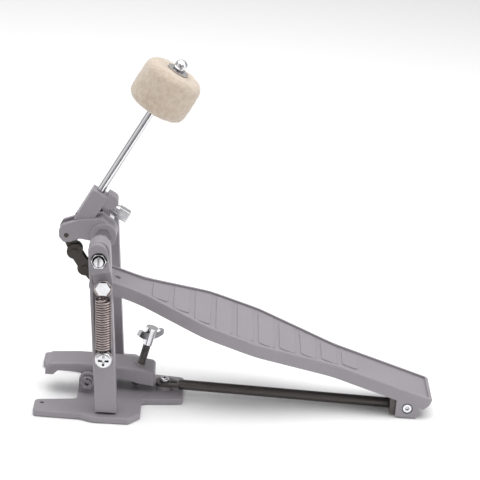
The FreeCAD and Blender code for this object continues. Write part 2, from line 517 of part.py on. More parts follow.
slab(board, "casting", "XY", "-skirt", "skirt", leaf("0"))
soften(board, "bends", "blend", bend)
soften(board, "ends", 3, lambda e: runs(e, ALONG_Z))
soften(board, "rim_edge", 1.2, lambda e: lies(e, ALONG_Z, 0))
slab(board, "panel", "XY", "-panel_drop", "panel_drop + 1", leaf("board_rim"), cut=True)
for rib in range(10):
    heel_end = f"(rib_first + {rib} * rib_pitch)"
    toe_end = f"({heel_end} + rib_long)"
    heel_side = f"heel_half + ({heel_end} - waist) * (wide_half + 0.6 - heel_half) / (wide_end - waist)"
    toe_side = f"toe_half + (toe_straight - {toe_end}) * (wide_half - toe_half) / (toe_straight - wide_start)"
    reach = f"(min({heel_side}; {toe_side}; wide_half) - board_rim - rib_margin)"
    block(board, f"rib_{rib}", (f"-{toe_end}", f"-{reach}", "-panel_drop - 0.5"),
          ("rib_long", f"2 * {reach}", "rib_rise + 0.5"))
soften(board, "rib_corners", 2.5, lambda e: runs(e, ALONG_Z) and abs(e.Length - SIZES["rib_rise"]) < 0.01)
soften(board, "rib_edges", 0.4, lambda e: lies(e, ALONG_Z, SIZES["rib_rise"] - SIZES["panel_drop"]))
slab(board, "hollow", "XY", "-skirt - 1", "skirt + 1 - panel_drop - panel_skin", leaf("board_wall"), cut=True)
slab(board, "heel_taper", "XZ", "-heel_half - 1", "2 * heel_half + 2", [
    ("-pivot_back + 8.6", "-skirt - 1"), (2, "-skirt - 1"), (2, "-heel_lip + 0.4"), (0, "-heel_lip")], cut=True)
for side in SIDES:
    ear = "ear_inner" if side < 0 else "-heel_half"
    slab(board, f"ear_{side + 1}", "XZ", ear, "heel_half - ear_inner", [
        ("-pivot_back - 8.4", "-panel_drop - 1"), ("-pivot_back - 8.4", "-skirt + 0.4"),
        ("-pivot_back - 5.3", "-pivot_drop - 7.5"), ("-pivot_back - 1.4", "-pivot_drop - 6.7"),
        ("-pivot_back + 7.6", "-pivot_drop - 4.1"), ("-pivot_back + 6.6", "-skirt - 0.5"),
        ("-pivot_back + 8.6", "-skirt + 0.4"), ("-pivot_back + 8.6", "-panel_drop - 1")])
    lug = "-toe_lug_in - toe_lug_thick" if side < 0 else "toe_lug_in"
    toe_x = "-board_long + toe_pin_in"
    block(board, f"toe_lug_{side + 1}", (f"{toe_x} - toe_lug", lug, "-toe_pin_drop"),
          ("2 * toe_lug", "toe_lug_thick", "toe_pin_drop - panel_drop - panel_skin / 2"))
    disc(board, f"toe_lug_end_{side + 1}", "toe_lug", "toe_lug_thick", (toe_x, lug, "-toe_pin_drop"), ACROSS)
disc(board, "toe_pin_slot", "chain_pin + toe_slack", "4 * toe_lug_in + 8",
     (toe_x, "-2 * toe_lug_in - 4", "-toe_pin_drop"), ACROSS, cut=True)
block(board, "chain_notch", ("-board_long - 3", "-notch_half", "-2 * skirt"),
      ("notch_deep + 3", "2 * notch_half", "3 * skirt"), cut=True)
disc(board, "pivot_bore", "pivot_screw + fit", "2 * heel_half + 2", ("-pivot_back", "-heel_half - 1", "-pivot_drop"),
     ACROSS, cut=True)
for side in SIDES:
    low = "-heel_half - 1" if side < 0 else "heel_half - pivot_head_sunk"
    disc(board, f"pivot_sink_{side + 1}", "pivot_head + 0.9", "pivot_head_sunk + 1",
         ("-pivot_back", low, "-pivot_drop"), ACROSS, cut=True)
disc(board, "toe_hole", "toe_hole", "skirt", ("-board_long + toe_hole_in", 0, "-skirt / 2 - 1"), cut=True)
nodes.append(board)

# ---------------------------------------------------------------- heel bracket, its screws and the rod
bracket = new_body("heel_bracket")
for side in SIDES:
    start = "bracket_out - bracket_wall" if side < 0 else "-bracket_out"
    slab(bracket, f"cheek_{side + 1}", "XZ", start, "bracket_wall", [
        ("bracket_front", "bracket_low"), ("bracket_rear", "bracket_low"),
        ("bracket_rear", "bracket_high - 4"), ("bracket_rear - 5", "bracket_high - 1"),
        ("bracket_front", "bracket_high")])
    if side < 0:
        block(bracket, "web", ("bracket_front", "-bracket_out", "bracket_low"),
              ("bracket_web", "2 * bracket_out", "bracket_high - bracket_low"))
disc(bracket, "pivot_holes", "pivot_screw - 0.4 + fit", "2 * bracket_out + 2",
     ("pivot_x", "-bracket_out - 1", "pivot_height"), ACROSS, cut=True)
disc(bracket, "spigot_hole", "spigot + fit", "bracket_web + 2",
     ("bracket_front - 1", "-strut_y", "spigot_height + tan(strut_fall)"), (ALONG_Y, "90 + strut_fall"), cut=True)
nodes.append(bracket)

pivot = new_body("heel_pivot_screw", ("pivot_x", 0, "pivot_height"))
shoulder = "heel_half - pivot_head_sunk"
disc(pivot, "head", "pivot_head", "pivot_head_sunk - 0.2", (0, f"-({shoulder}) - pivot_head_sunk + 0.2 - fit", 0),
     ACROSS)
disc(pivot, "journal", "pivot_screw", f"({shoulder}) - bracket_out + fit", (0, f"-({shoulder}) - fit", 0), ACROSS)
disc(pivot, "thread", "pivot_screw - 0.4", "bracket_wall + 1", (0, "-bracket_out", 0), ACROSS)
hexagon(pivot, "socket", 2.5, 1, (0, f"-({shoulder}) - pivot_head_sunk + 0.1", 0), ACROSS, cut=True)
nodes.append(both_sides("heel_pivot_screws", pivot))

strut = new_body("connecting_rod")
tab_low = "plate_thick + boss_tall"
slab(strut, "tab", "XY", tab_low, "tab_thick", [
    ("boss_x - 5.4", "-boss_y - 3"), ("boss_x - 3.4", "-boss_y - 5.4"), ("boss_x + 3", "-boss_y - 5.7"),
    ("strut_start + 3", "-strut_y - strut_radius + 0.5"), ("strut_start + 3", "-strut_y + strut_radius - 0.5"),
    ("boss_x + 7.5", "-boss_y + 1.8"), ("boss_x + 3.4", "-boss_y + 5.4"), ("boss_x - 3.4", "-boss_y + 5.4"),
    ("boss_x - 5.4", "-boss_y + 3")])
along_strut = (ALONG_Y, "90 + strut_fall")
disc(strut, "rod", "strut_radius", "(bracket_front - fit - strut_start) / cos(strut_fall) - 0.12",
     ("strut_start", "-strut_y", "strut_z"), along_strut)
disc(strut, "spigot", "spigot", "(bracket_front + bracket_web - strut_start) / cos(strut_fall)",
     ("strut_start", "-strut_y", "strut_z"), along_strut)
disc(strut, "screw_hole", "tab_screw + fit", "tab_thick + 2", ("boss_x", "-boss_y", f"{tab_low} - 1"), cut=True)
block(strut, "slot", ("boss_x + tab_head + 0.4", "-boss_y - 2.2", f"{tab_low} - 1"), (4.4, 2, "tab_thick + 2"),
      cut=True)
nodes.append(strut)


def recess_cross(body, at, turn, size=3.2, wide=0.8, deep=1.2):
    """A cross-shaped driver recess sunk from a head's top."""
    for n, (a, b) in enumerate(((size, wide), (wide, size))):
        block(body, f"cross_{n}", at(a, b), (a, b, deep + 1), turn, cut=True)


tab_screw = new_body("rod_tab_screw", ("boss_x", "-boss_y", 0))
disc(tab_screw, "shank", "tab_screw", "plate_thick + boss_tall + tab_thick - 0.5", (0, 0, 0.5))
disc(tab_screw, "head", "tab_head", "tab_head_tall", (0, 0, f"{tab_low} + tab_thick"))
soften(tab_screw, "head_round", 1.2, lambda e: e.CenterOfMass.z > 10.8 and e.Curve.TypeId == "Part::GeomCircle")
recess_cross(tab_screw, lambda a, b: (-a / 2, -b / 2, f"{tab_low} + tab_thick + tab_head_tall - 1.2"), None)
nodes.append(tab_screw)

# ---------------------------------------------------------------- return spring and its anchor
anchor_floor = "post_outer - recess_deep"
loop_front = "spring_y + wire"
spacer = new_body("anchor_spacer", ("anchor_x", 0, "anchor_height"))
hexagon(spacer, "body", "anchor_flats", f"spring_y - wire - fit - ({anchor_floor})",
        (0, "-(spring_y - wire - fit)", 0), ACROSS)
disc(spacer, "collar", "anchor_collar", "2 * (wire + fit)", (0, f"-({loop_front}) - fit", 0), ACROSS)
disc(spacer, "bore", "anchor_radius + fit", 20, (0, f"-({loop_front}) - 1", 0), ACROSS, cut=True)
nodes.append(spacer)

anchor = new_body("spring_anchor_screw", ("anchor_x", 0, "anchor_height"))
disc(anchor, "shank", "anchor_radius", f"{loop_front} + fit - post_inner + 5", (0, f"-({loop_front}) - fit", 0),
     ACROSS)
disc(anchor, "head", "anchor_head", "anchor_head_thick", (0, f"-({loop_front}) - fit - anchor_head_thick", 0),
     ACROSS)
doc.recompute()
head_face = anchor.Tip.Shape.BoundBox.YMin
soften(anchor, "head_round", 1.6, lambda e: lies(e, ALONG_Y, head_face))
recess_cross(anchor, lambda a, b: (-a / 2, f"-({loop_front}) - fit - anchor_head_thick + 1.4", -b / 2),
             (ALONG_X, 90), 6.6, 1.5)
nodes.append(anchor)

anchor_nut = new_body("spring_anchor_nut", ("anchor_x", 0, "anchor_height"))
hexagon(anchor_nut, "body", "anchor_flats", 3.2, (0, "-post_inner", 0), ACROSS)
disc(anchor_nut, "bore", "anchor_radius + fit", 6, (0, "-post_inner - 1", 0), ACROSS, cut=True)
nodes.append(anchor_nut)

spring_turn = (ALONG_Y, "(atan(spring_run / spring_rise)) / 1deg")
loop_low = "loop_radius - wire - anchor_collar - fit"
loop_high = "spring_span - (loop_radius - wire - stub_neck - fit)"
coil_end = "coil_start + coil_long"


def spring_loop(name, level, tail_from, tail_to, tail_x):
    """An end loop in the plane of the pedal's side, with the short tail that leads to the coil."""
    body = new_body(name, ("anchor_x", "-spring_y", "anchor_height"), spring_turn)
    piece(body, "loop", "Torus", (0, 0, level), (ALONG_X, 90), Radius1="loop_radius", Radius2="wire",
          Angle3="360")
    disc(body, "tail", "wire", f"({tail_to}) - ({tail_from})", (tail_x, 0, tail_from))
    nodes.append(body)


spring_loop("spring_lower_loop", loop_low, f"{loop_low} + loop_radius - 0.3", "coil_start", "0")
spring_loop("spring_upper_loop", loop_high, coil_end, f"{loop_high} - loop_radius + 0.3", "0")

helix = doc.addObject("Part::Helix", "coil_path")
helix.setExpression("Pitch", bound("coil_pitch"))
helix.setExpression("Height", bound("coil_long - 2 * wire"))
helix.setExpression("Radius", bound("spring_radius"))
section = doc.addObject("Part::Circle", "coil_section")
section.setExpression("Radius", bound("wire"))
place(section, ("spring_radius", 0, 0), (ALONG_X, 90))
doc.recompute()
coil = doc.addObject("Part::Sweep", "spring_coil")
coil.Label = "spring_coil"
coil.Sections = [section]
coil.Spine = (helix, [f"Edge{i + 1}" for i in range(len(helix.Shape.Edges))])
coil.Solid = True
coil.Frenet = True
place(coil, ("anchor_x + (coil_start + wire) * spring_run / spring_span", "-spring_y",
             "anchor_height + (coil_start + wire) * spring_rise / spring_span"), spring_turn)
nodes.append(coil)

# ---------------------------------------------------------------- hoop clamp
lever = new_body("clamp_lever")
slab(lever, "arch", "XZ", "-lever_half", "2 * lever_half", [
    ("-lever_front", "lever_height + 1.5"), ("-lever_front + 5", "lever_height + 1.5"),
    ("-lever_front + 8", "lever_height + 4.5"), ("-lever_x - lever_boss", "lever_height + 4.5"),
    ("-lever_x - lever_boss", "lever_height"), ("-lever_x + lever_boss", "lever_height"),
    ("2", "lever_height + 3.4"), ("13.3", "lever_height + 2.9"), ("25", "lever_height - 1.2"),
    ("lever_rear - 0.8", "lever_height - 2.6"), ("lever_rear", "lever_height - 1.8"),
    ("lever_rear", "lever_top - 2.6"), ("25", "lever_top - 1"), ("8", "lever_top + 0.5"),
    ("-12", "lever_top + 0.7"), ("-lever_front + 3", "lever_top - 0.4"),
    ("-lever_front", "lever_top - 2.4")])
disc(lever, "pivot_boss", "lever_boss", "2 * lever_half", ("-lever_x", "-lever_half", "lever_height"), ACROSS)
soften(lever, "heel_corner", 3, lambda e: runs(e, ALONG_Y) and e.CenterOfMass.x > SIZES["lever_rear"] - 1
       and e.CenterOfMass.z > SIZES["lever_top"] - 4)
soften(lever, "crown", 2.2, lambda e: e.CenterOfMass.z > SIZES["lever_top"] - 5
       and abs(abs(e.CenterOfMass.y) - SIZES["lever_half"]) < 1e-4)
slab(lever, "channel", "XZ", "-lever_half + lever_wall", "2 * (lever_half - lever_wall)", [
    ("2.6", 0), ("lever_rear - lever_wall", 0), ("lever_rear - lever_wall", "lever_top - 2.6 - lever_skin + 0.4"),
    ("25", "lever_top - 1 - lever_skin"), ("8", "lever_top + 0.5 - lever_skin"),
    ("2.6", "lever_top + 0.5 - lever_skin")], cut=True)
bolt_turn = (ALONG_Y, "bolt_lean")


def on_bolt(up):
    return (f"bolt_x + ({up}) * sin(bolt_lean)", 0, f"plate_thick + tip_lift + ({up}) * cos(bolt_lean)")


disc(lever, "bolt_boss", "bolt_boss", "8", on_bolt(7.4), bolt_turn)
disc(lever, "bolt_hole", "bolt_radius + fit", "24", on_bolt(2), bolt_turn, cut=True)
disc(lever, "pivot_bore", "lever_pin + fit", "2 * lever_half + 2", ("-lever_x", "-lever_half - 1", "lever_height"),
     ACROSS, cut=True)
nodes.append(lever)

clamp_pin = new_body("clamp_pivot_pin", ("-lever_x", 0, "lever_height"))
pin_face = "lug_inner + lug_thick"
disc(clamp_pin, "pin", "lever_pin", f"2 * ({pin_face}) + 4.2", (0, f"-({pin_face}) - 4.2", 0), ACROSS)
disc(clamp_pin, "hollow_end", "lever_pin - 0.9", 3, (0, f"-({pin_face}) - 4.2 - 1", 0), ACROSS, cut=True)
disc(clamp_pin, "head", "pin_head", "pin_head_thick", (0, pin_face, 0), ACROSS)
nodes.append(clamp_pin)

pin_nut = new_body("clamp_pin_nut", ("-lever_x", 0, "lever_height"))
hexagon(pin_nut, "body", "2 * pin_head - 0.4", 3, (0, f"-({pin_face}) - 3", 0), ACROSS)
disc(pin_nut, "bore", "lever_pin + fit", 6, (0, f"-({pin_face}) - 4", 0), ACROSS, cut=True)
nodes.append(pin_nut)

bolt = new_body("wing_bolt", on_bolt(0), bolt_turn)
disc(bolt, "shank", "bolt_radius", "bolt_long", (0, 0, 0))
soften(bolt, "tip", 0.8, lambda e: e.Curve.TypeId == "Part::GeomCircle" and e.CenterOfMass.z < 1)
nodes.append(bolt)

wing = new_body("wing_head", on_bolt(0), bolt_turn)
disc(wing, "hub", "bolt_hub_radius", "hub_long", (0, 0, "hub_start"))
for side in SIDES:
    blade = slab(wing, f"wing_{side + 1}", "XZ", 0, "wing_thick", [
        (0, "hub_start + wing_low"), (f"{side} * (wing_half - 4)", "hub_start + wing_low + 1.6"),
        (f"{side} * wing_half", "hub_start + wing_low + wing_tall - 3.6"),
        (f"{side} * (wing_half - 1)", "hub_start + wing_low + wing_tall"),
        (f"{side} * (wing_half - 4)", "hub_start + wing_low + wing_tall - 0.6"),
        (0, "hub_start + wing_low + wing_tall - 3")], yaw="wing_turn")
    blade.Midplane = True
disc(wing, "cap", "bolt_hub_radius + 0.7", "hub_cap", (0, 0, "hub_start + hub_long - hub_cap"))
disc(wing, "bore", "bolt_radius + fit", "bolt_long - hub_start + 1", (0, 0, "hub_start - 1"), cut=True)
nodes.append(wing)

# ---------------------------------------------------------------- check and export
doc.recompute()
for thing in doc.Objects:
    if {"Invalid", "Error"} & set(thing.State):
        raise RuntimeError(f"{thing.Name} did not build: {thing.State}")
for node in nodes:
    shape = node.Shape
    if shape.isNull() or not shape.isValid():
        raise RuntimeError(f"{node.Label} has no valid shape")
    shape.exportStep(os.path.join("parts", node.Label + ".step"))
    box = shape.BoundBox
    print(f"{node.Label:22s} solids {len(shape.Solids)} volume {shape.Volume:9.1f}  "
          f"x {box.XMin:7.2f} {box.XMax:7.2f}  y {box.YMin:7.2f} {box.YMax:7.2f}  "
          f"z {box.ZMin:7.2f} {box.ZMax:7.2f}")
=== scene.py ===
# %% [markdown]
# # Bass drum pedal
# The imported CAD model is the frame of this scene: every part keeps its CAD place, and this lesson adds finishes,
# the soft felt, the coiled wire, a rolled thread and the studio. First the frame is loaded.

# %% Load the frame
import json
import math
import random
import bpy
import bmesh
from mathutils import Matrix, Vector


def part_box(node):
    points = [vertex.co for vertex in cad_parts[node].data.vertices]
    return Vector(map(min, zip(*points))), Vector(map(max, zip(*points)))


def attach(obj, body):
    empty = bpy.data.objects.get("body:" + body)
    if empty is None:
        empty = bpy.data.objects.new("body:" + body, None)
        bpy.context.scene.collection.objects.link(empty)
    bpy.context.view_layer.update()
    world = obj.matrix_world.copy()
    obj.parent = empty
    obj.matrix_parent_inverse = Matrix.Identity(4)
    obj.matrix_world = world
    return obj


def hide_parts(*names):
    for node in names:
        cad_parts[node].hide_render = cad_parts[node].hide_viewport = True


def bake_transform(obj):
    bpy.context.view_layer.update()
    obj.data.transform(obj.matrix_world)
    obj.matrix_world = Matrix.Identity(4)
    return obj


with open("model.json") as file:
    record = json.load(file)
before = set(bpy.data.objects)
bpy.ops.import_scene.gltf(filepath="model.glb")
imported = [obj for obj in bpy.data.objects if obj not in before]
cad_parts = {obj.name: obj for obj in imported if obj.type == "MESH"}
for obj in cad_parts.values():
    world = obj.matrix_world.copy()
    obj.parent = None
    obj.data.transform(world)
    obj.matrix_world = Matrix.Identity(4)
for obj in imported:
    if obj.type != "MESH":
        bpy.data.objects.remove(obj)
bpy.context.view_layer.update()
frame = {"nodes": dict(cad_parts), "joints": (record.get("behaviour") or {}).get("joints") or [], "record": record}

MM = 0.001
joints = {joint["name"]: joint for joint in frame["joints"]}
print("parts in the frame:", len(frame["nodes"]), "joints:", len(joints))

# %% [markdown]
# The camera stands low and far away with a long lens, a little above the pedal, as for a catalogue picture.
# A long lens keeps parallel edges nearly parallel. The picture is also rolled by a few degrees, so the floor
# falls slightly to the right. The camera aims at a point over the footboard, level with the axle.

# %% Camera
LENS_MM = 163.2
DISTANCE = 1.3626
FALL, YAW, ROLL = math.radians(19.01), math.radians(-1.17), math.radians(3.71)
ahead = Vector((-math.sin(YAW) * math.cos(FALL), math.cos(YAW) * math.cos(FALL), -math.sin(FALL)))
right = Vector((math.cos(YAW), math.sin(YAW), 0))
above = right.cross(ahead)
right, above = (right * math.cos(ROLL) + above * math.sin(ROLL),
                above * math.cos(ROLL) - right * math.sin(ROLL))
aim = Vector((0.08514, 0.0, 0.10598))
camera = bpy.data.objects.new("camera", bpy.data.cameras.new("camera"))
bpy.context.scene.collection.objects.link(camera)
camera.data.lens = LENS_MM
camera.data.sensor_width = 36
camera.data.clip_end = 20
turned = Matrix((right, above, -ahead)).transposed().to_4x4()
turned.translation = aim - ahead * DISTANCE
camera.matrix_world = turned
bpy.context.scene.camera = camera
print("camera stands at", [round(v, 3) for v in camera.location])

# %% [markdown]
# The floor is a wide pale sheet and the light is soft: a large panel overhead, two weaker ones to the left and
# right and a bright pale room around. Chrome needs something dark to reflect, so a dark mat lies on the floor
# in front of the pedal and a dark board stands beyond it. Only mirror reflections see them: they give the rods
# their dark core lines and leave the floor and the castings evenly lit.

# %% Studio
def add_stage_sheet(name, size, place, turn=(0, 0, 0)):
    mesh = bpy.data.meshes.new(name)
    half_x, half_y = size[0] / 2, size[1] / 2
    mesh.from_pydata([(-half_x, -half_y, 0), (half_x, -half_y, 0), (half_x, half_y, 0), (-half_x, half_y, 0)],
                     [], [(0, 1, 2, 3)])
    sheet = bpy.data.objects.new(name, mesh)
    bpy.context.scene.collection.objects.link(sheet)
    sheet.location = place
    sheet.rotation_euler = turn
    return sheet


def add_soft_light(name, power, size, place, at=(0.06, 0, 0.08)):
    light = bpy.data.objects.new(name, bpy.data.lights.new(name, "AREA"))
    light.data.energy = power
    light.data.shape = "RECTANGLE"
    light.data.size, light.data.size_y = size
    bpy.context.scene.collection.objects.link(light)
    light.location = place
    light.rotation_euler = (Vector(at) - Vector(place)).to_track_quat("-Z", "Y").to_euler()


FLOOR_DROP = 0.6 * MM
floor = add_stage_sheet("floor", (8, 8), (0, 0, -FLOOR_DROP))
dark_cards = [add_stage_sheet("front_mat", (0.7, 0.54), (-0.05, -0.63, 0.002)),
              add_stage_sheet("front_board", (0.34, 0.5), (-0.1, -0.95, 0.3), (math.pi / 2, 0, 0))]
for card in dark_cards:
    card.visible_camera = card.visible_diffuse = card.visible_shadow = False
add_soft_light("overhead_panel", 17, (1.8, 1.4), (0.1, 0.05, 1.1))
add_soft_light("left_panel", 1.2, (0.7, 1.0), (-1.1, -0.5, 0.5))
add_soft_light("right_panel", 3, (0.7, 1.0), (1.2, -0.4, 0.6))
ROOM_STRENGTH = 0.52
world = bpy.data.worlds.new("pale_room")
bpy.context.scene.world = world
world.use_nodes = True
room = world.node_tree.nodes["Background"]
room.inputs["Color"].default_value = (1, 1, 1, 1)
room.inputs["Strength"].default_value = ROOM_STRENGTH
bpy.context.scene.view_settings.view_transform = "Standard"

# %% [markdown]
# A few small helpers serve every finish. One turns an sRGB hex colour into Blender's linear numbers. Another adds
# one shader node with its settings and links; numbers and names that start with a capital are its sockets. The
# rest start a material, mix two colours, raise a fine relief and turn a real size into a noise scale.

# %% Helpers for finishes
def colour(hex_code):
    """Linear red, green, blue and alpha of an sRGB colour such as '#8f8b90'."""
    parts = [int(hex_code[i:i + 2], 16) / 255 for i in (1, 3, 5)]
    return tuple(p / 12.92 if p <= 0.04045 else ((p + 0.055) / 1.055) ** 2.4 for p in parts) + (1,)


def add_node(tree, kind, settings=None, links=None):
    node = tree.nodes.new("ShaderNode" + kind)
    for key, value in (settings or {}).items():
        if isinstance(key, int) or key[0].isupper():
            node.inputs[key].default_value = value
        else:
            setattr(node, key, value)
    for key, source in (links or {}).items():
        tree.links.new(source, node.inputs[key])
    return node


def per_mm(size_mm):
    """Noise scale whose features are about this many millimetres across."""
    return 1 / (size_mm * MM)


def start_finish(name, **shader):
    """A new material with its Principled shader's constant values set, and where patterns are measured."""
    finish = bpy.data.materials.new(name)
    finish.use_nodes = True
    tree = finish.node_tree
    surface = tree.nodes["Principled BSDF"]
    for key, value in shader.items():
        surface.inputs[key.replace("_", " ")].default_value = value
    place = add_node(tree, "TexCoord").outputs["Object"]
    return finish, tree, surface, place


def mix_colours(tree, factor, first, second):
    """Colour that goes from first to second as factor goes from 0 to 1."""
    mix = add_node(tree, "Mix", {"data_type": "RGBA", 6: first, 7: second}, {0: factor})
    return mix.outputs[2]


def add_relief(tree, surface, height, depth_mm, strength):
    bump = add_node(tree, "Bump", {"Strength": strength, "Distance": depth_mm * MM}, {"Height": height})
    tree.links.new(bump.outputs["Normal"], surface.inputs["Normal"])


print("0.8 mm grain has noise scale", round(per_mm(0.8)))

# %% [markdown]
# The castings are sand-textured aluminium under grey powder coat. Powder melts into a satin skin with a faint
# pebble of about a millimetre, like orange peel, and fine flakes that catch the light. Sharp edges are painted
# paler, partly for the coat worn thin there and partly as a painted highlight along them; a bevel node finds those
# edges. It is a paint, so it is not metallic.
# Blotches some 20 mm wide keep the large faces from looking like one even grey.

# %% Powder-coated cast aluminium
def powder_coated_aluminium():
    finish, tree, surface, place = start_finish("powder_coated_cast_aluminium", Metallic=0.0, IOR=1.5)
    patches = add_node(tree, "TexNoise", {"Scale": per_mm(22), "Detail": 3}, {"Vector": place})
    pebble = add_node(tree, "TexNoise", {"Scale": per_mm(0.9), "Detail": 4, "Roughness": 0.6}, {"Vector": place})
    flakes = add_node(tree, "TexVoronoi", {"Scale": per_mm(0.55)}, {"Vector": place})
    sparkle = add_node(tree, "MapRange", {"From Min": 0.0, "From Max": 0.22, "To Min": 0.45, "To Max": 0.0},
                       {"Value": flakes.outputs["Distance"]})
    base = mix_colours(tree, sparkle.outputs["Result"], colour("#918d92"), colour("#a8a5aa"))
    blotches = mix_colours(tree, patches.outputs["Fac"], colour("#e2dfe2"), colour("#ffffff"))
    blotched = add_node(tree, "Mix", {"data_type": "RGBA", "blend_type": "MULTIPLY", 0: 0.5},
                        {6: base, 7: blotches})
    # paler edges: partly coat worn thin, partly a painted highlight along the sharp edges
    rounded = add_node(tree, "Bevel", {"samples": 4, "Radius": 0.7 * MM})
    sharp = add_node(tree, "NewGeometry")
    same = add_node(tree, "VectorMath", {"operation": "DOT_PRODUCT"},
                    {0: rounded.outputs["Normal"], 1: sharp.outputs["Normal"]})
    edge = add_node(tree, "MapRange", {"From Min": 0.72, "From Max": 0.98, "To Min": 0.38, "To Max": 0.0},
                    {"Value": same.outputs["Value"]})
    worn_and_highlit = add_node(tree, "Mix", {"data_type": "RGBA", 7: colour("#bdbabe")},
                    {0: edge.outputs["Result"], 6: blotched.outputs[2]})
    tree.links.new(worn_and_highlit.outputs[2], surface.inputs["Base Color"])
    sheen = add_node(tree, "MapRange", {"To Min": 0.36, "To Max": 0.5}, {"Value": pebble.outputs["Fac"]})
    tree.links.new(sheen.outputs["Result"], surface.inputs["Roughness"])
    add_relief(tree, surface, pebble.outputs["Fac"], 0.05, 0.35)
    return finish


casting_finish = powder_coated_aluminium()
print("made", casting_finish.name)

# %% [markdown]
# The fasteners, beater rod and wing bolt are polished steel with a bright chrome plate. Chrome keeps Blender's
# default IOR for a metal; it is nearly a mirror, broken only by faint smears and hairline scratches a few
# tenths of a millimetre wide. Recesses and thread roots, where little light arrives, get painted shade: their
# colour is darkened by an ambient occlusion node. The spring is drawn wire with a warmer, slightly duller plate.
# The wing bolt's rolled thread is duller still, under a film of oil.

# %% Chrome plate, plated spring wire and oiled thread
def plated_steel(name, bright, smear, low, high):
    finish, tree, surface, place = start_finish(name, Metallic=1.0)
    smears = add_node(tree, "TexNoise", {"Scale": per_mm(5), "Detail": 4}, {"Vector": place})
    hairs = add_node(tree, "Mapping", {"Scale": (per_mm(0.25), per_mm(0.25), per_mm(6))}, {"Vector": place})
    hairlines = add_node(tree, "TexNoise", {"Scale": 1, "Detail": 2}, {"Vector": hairs.outputs["Vector"]})
    shade = mix_colours(tree, smears.outputs["Fac"], colour(bright), colour(smear))
    # painted shade: ambient occlusion mixes recesses and thread roots toward dark #2b2826
    recess_occlusion = add_node(tree, "AmbientOcclusion", {"samples": 8, "Distance": 1.6 * MM})
    open_to_light = add_node(tree, "MapRange", {"From Min": 0.25, "From Max": 0.85}, {"Value": recess_occlusion.outputs["AO"]})
    painted_recess_shade = add_node(tree, "Mix", {"data_type": "RGBA", 6: colour("#2b2826")},
                       {0: open_to_light.outputs["Result"], 7: shade})
    tree.links.new(painted_recess_shade.outputs[2], surface.inputs["Base Color"])
    dull = add_node(tree, "MapRange", {"From Min": 0.3, "From Max": 0.75, "To Min": low, "To Max": high},
                    {"Value": smears.outputs["Fac"]})
    tree.links.new(dull.outputs["Result"], surface.inputs["Roughness"])
    add_relief(tree, surface, hairlines.outputs["Fac"], 0.004, 0.15)
    return finish


chrome_finish = plated_steel("chrome_plated_steel", "#e4e4e6", "#cfced2", 0.06, 0.2)
wire_finish = plated_steel("plated_spring_wire", "#b9adab", "#8d8080", 0.16, 0.32)
thread_finish = plated_steel("oiled_rolled_thread", "#908d8b", "#5b5755", 0.2, 0.4)
print("made", chrome_finish.name, wire_finish.name, thread_finish.name)

# %% [markdown]
# The connecting rod and heel bracket are drawn and folded steel left dark under oil. Drawing pulls fine lines
# along the rod, so the noise is stretched in +X. The chain is black oxide: a thin matt film that keeps the
# metal's shine only where plates rub. The bushings share the dark oiled finish.

# %% Dark steel and black oxide
def oiled_steel(name, dark, pale, roughness, metallic, stretch):
    finish, tree, surface, place = start_finish(name, Metallic=metallic)
    lines = add_node(tree, "Mapping", {"Scale": stretch}, {"Vector": place})
    drawn = add_node(tree, "TexNoise", {"Scale": 1, "Detail": 4, "Roughness": 0.65},
                     {"Vector": lines.outputs["Vector"]})
    oil = add_node(tree, "TexNoise", {"Scale": per_mm(9), "Detail": 3}, {"Vector": place})
    base = mix_colours(tree, drawn.outputs["Fac"], colour(dark), colour(pale))
    tree.links.new(base, surface.inputs["Base Color"])
    film = add_node(tree, "MapRange", {"From Min": 0.3, "From Max": 0.7, "To Min": roughness,
                                       "To Max": roughness + 0.16}, {"Value": oil.outputs["Fac"]})
    tree.links.new(film.outputs["Result"], surface.inputs["Roughness"])
    add_relief(tree, surface, drawn.outputs["Fac"], 0.02, 0.25)
    return finish


drawn_finish = oiled_steel("oiled_drawn_steel", "#4b4746", "#6a6563", 0.3, 0.85,
                           (per_mm(14), per_mm(0.35), per_mm(0.35)))
chain_finish = oiled_steel("black_oxide_steel", "#35302d", "#5c5652", 0.38, 0.7,
                           (per_mm(0.6), per_mm(0.6), per_mm(0.6)))
print("made", drawn_finish.name, chain_finish.name)

# %% [markdown]
# Each CAD part keeps its shape and takes one of these finishes. The record already says which parts share a
# material slot, so the slots pick the finish. The felt, the coil and the threaded rod are replaced further on.

# %% Dress the CAD parts
finish_of_slot = {"casting": casting_finish, "chrome_hardware": chrome_finish, "spring_wire": wire_finish,
                  "dark_steel": drawn_finish, "chain_steel": chain_finish}
dressed = [subpart for subpart in frame["record"]["subparts"] if subpart["material_slot"] in finish_of_slot]
for subpart in dressed:
    for slot in frame["nodes"][subpart["node"]].material_slots:
        slot.material = finish_of_slot[subpart["material_slot"]]

# %% [markdown]
# The beater head is a thick disc of pressed wool felt. Pressing leaves soft rounded rims, a slightly barrelled
# side and lumps of a few millimetres where the wool is denser. The disc is turned from a profile and its points
# are moved by smooth noise. It rides on the beater and stands for the plain CAD solid.

# %% Felt head
def object_from(name, mesh):
    made = bpy.data.objects.new(name, mesh)
    bpy.context.scene.collection.objects.link(made)
    for face in mesh.polygons:
        face.use_smooth = True
    return made


def mid(node):
    low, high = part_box(node)
    return (low + high) / 2


rod_line = Vector(joints["beater_height"]["axis"]).normalized()
felt_middle = mid("felt_head")
FELT_RADIUS, FELT_TALL, FELT_RIM = 19.0 * MM, 28.0 * MM, 6.0 * MM
FELT_HOLE, FELT_BULGE = 2.3 * MM, 0.35 * MM
stand = rod_line.to_track_quat("Z", "Y").to_matrix().to_4x4()
stand.translation = felt_middle


